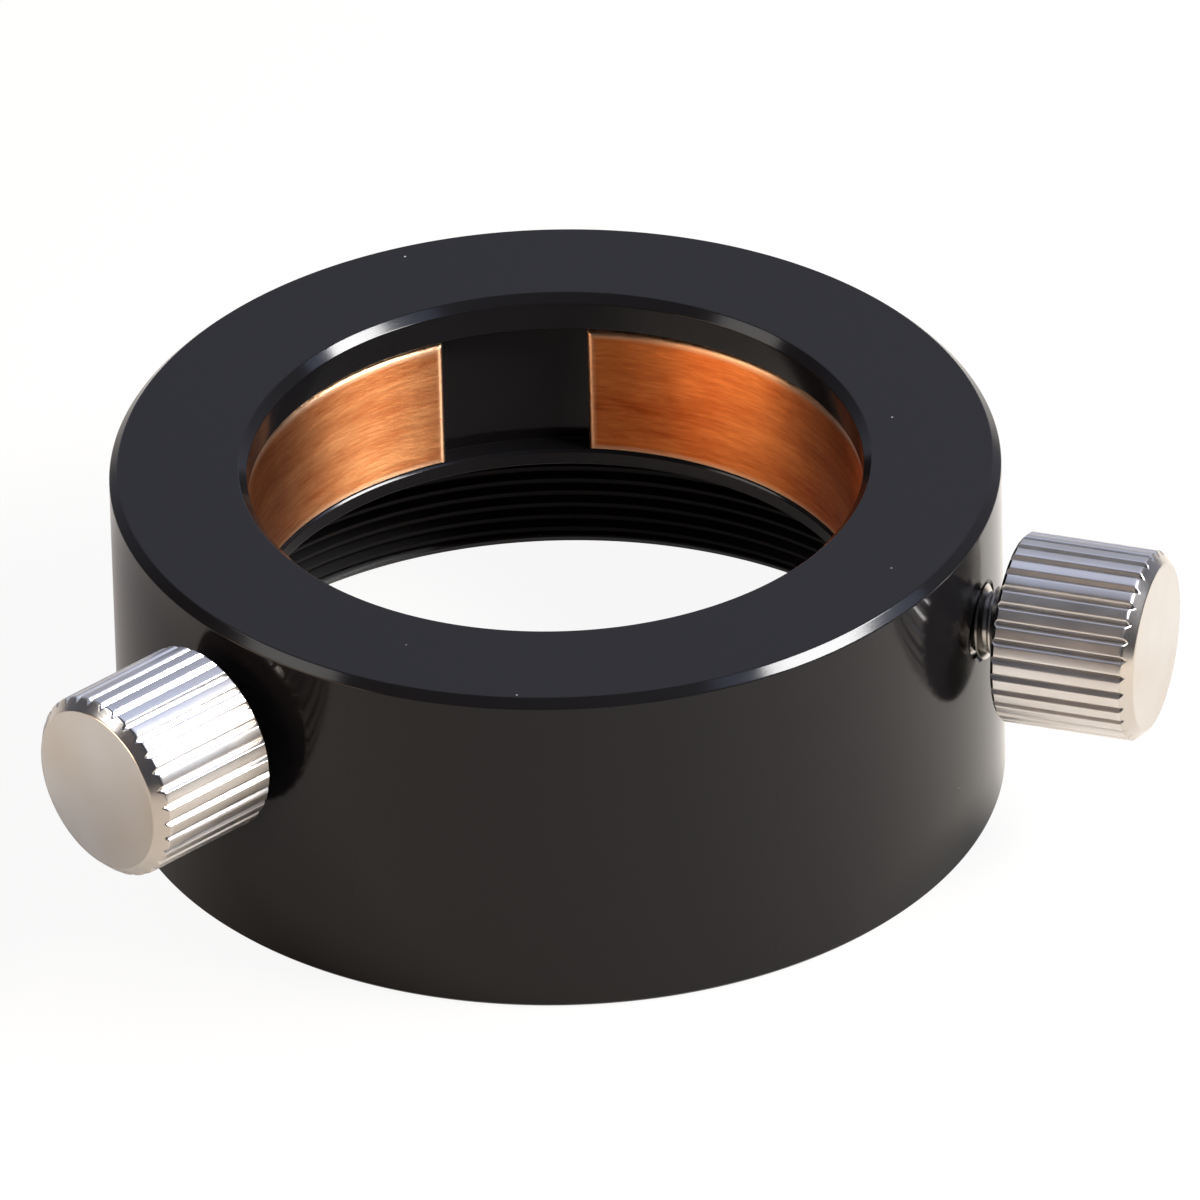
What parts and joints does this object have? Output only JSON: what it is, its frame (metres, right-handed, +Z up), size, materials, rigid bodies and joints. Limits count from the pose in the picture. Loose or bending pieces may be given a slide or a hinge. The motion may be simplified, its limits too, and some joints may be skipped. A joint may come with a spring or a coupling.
{
  "type": "telescope camera adapter",
  "caption": "Short black ring with a 1.25 inch socket and split clamp band above, a T2 camera thread below, and knurled thumbscrews in its side.",
  "frame": {"origin": "centre of the bottom face, at the mouth of the camera thread", "axes": "+Z up the bore and out of the socket; +X to the right with the two thumbscrews either side of -Y, at 210 and 330 degrees from +X"},
  "size_m": [0.0597, 0.046, 0.0186],
  "materials": {
    "black_anodised": "turned aluminium, dyed black in anodising, glossy",
    "phosphor_bronze": "brushed along the strip",
    "nickel_plate": "bright nickel plate over turned and knurled brass"
  },
  "bodies": {
    "adapter": {"adapter_body": "black_anodised", "clamp_band": "phosphor_bronze"},
    "left_screw": {"thumbscrew_left": "nickel_plate"},
    "right_screw": {"thumbscrew_right": "nickel_plate"}
  },
  "joints": [
    {"name": "left_screw_travel", "type": "slide", "parent": "adapter", "child": "left_screw", "axis": [-0.866, -0.5, 0], "range_m": [0, 0.0028]},
    {"name": "right_screw_travel", "type": "slide", "parent": "adapter", "child": "right_screw", "axis": [0.866, -0.5, 0], "range_m": [-0.00055, 0.00225]}
  ]
}
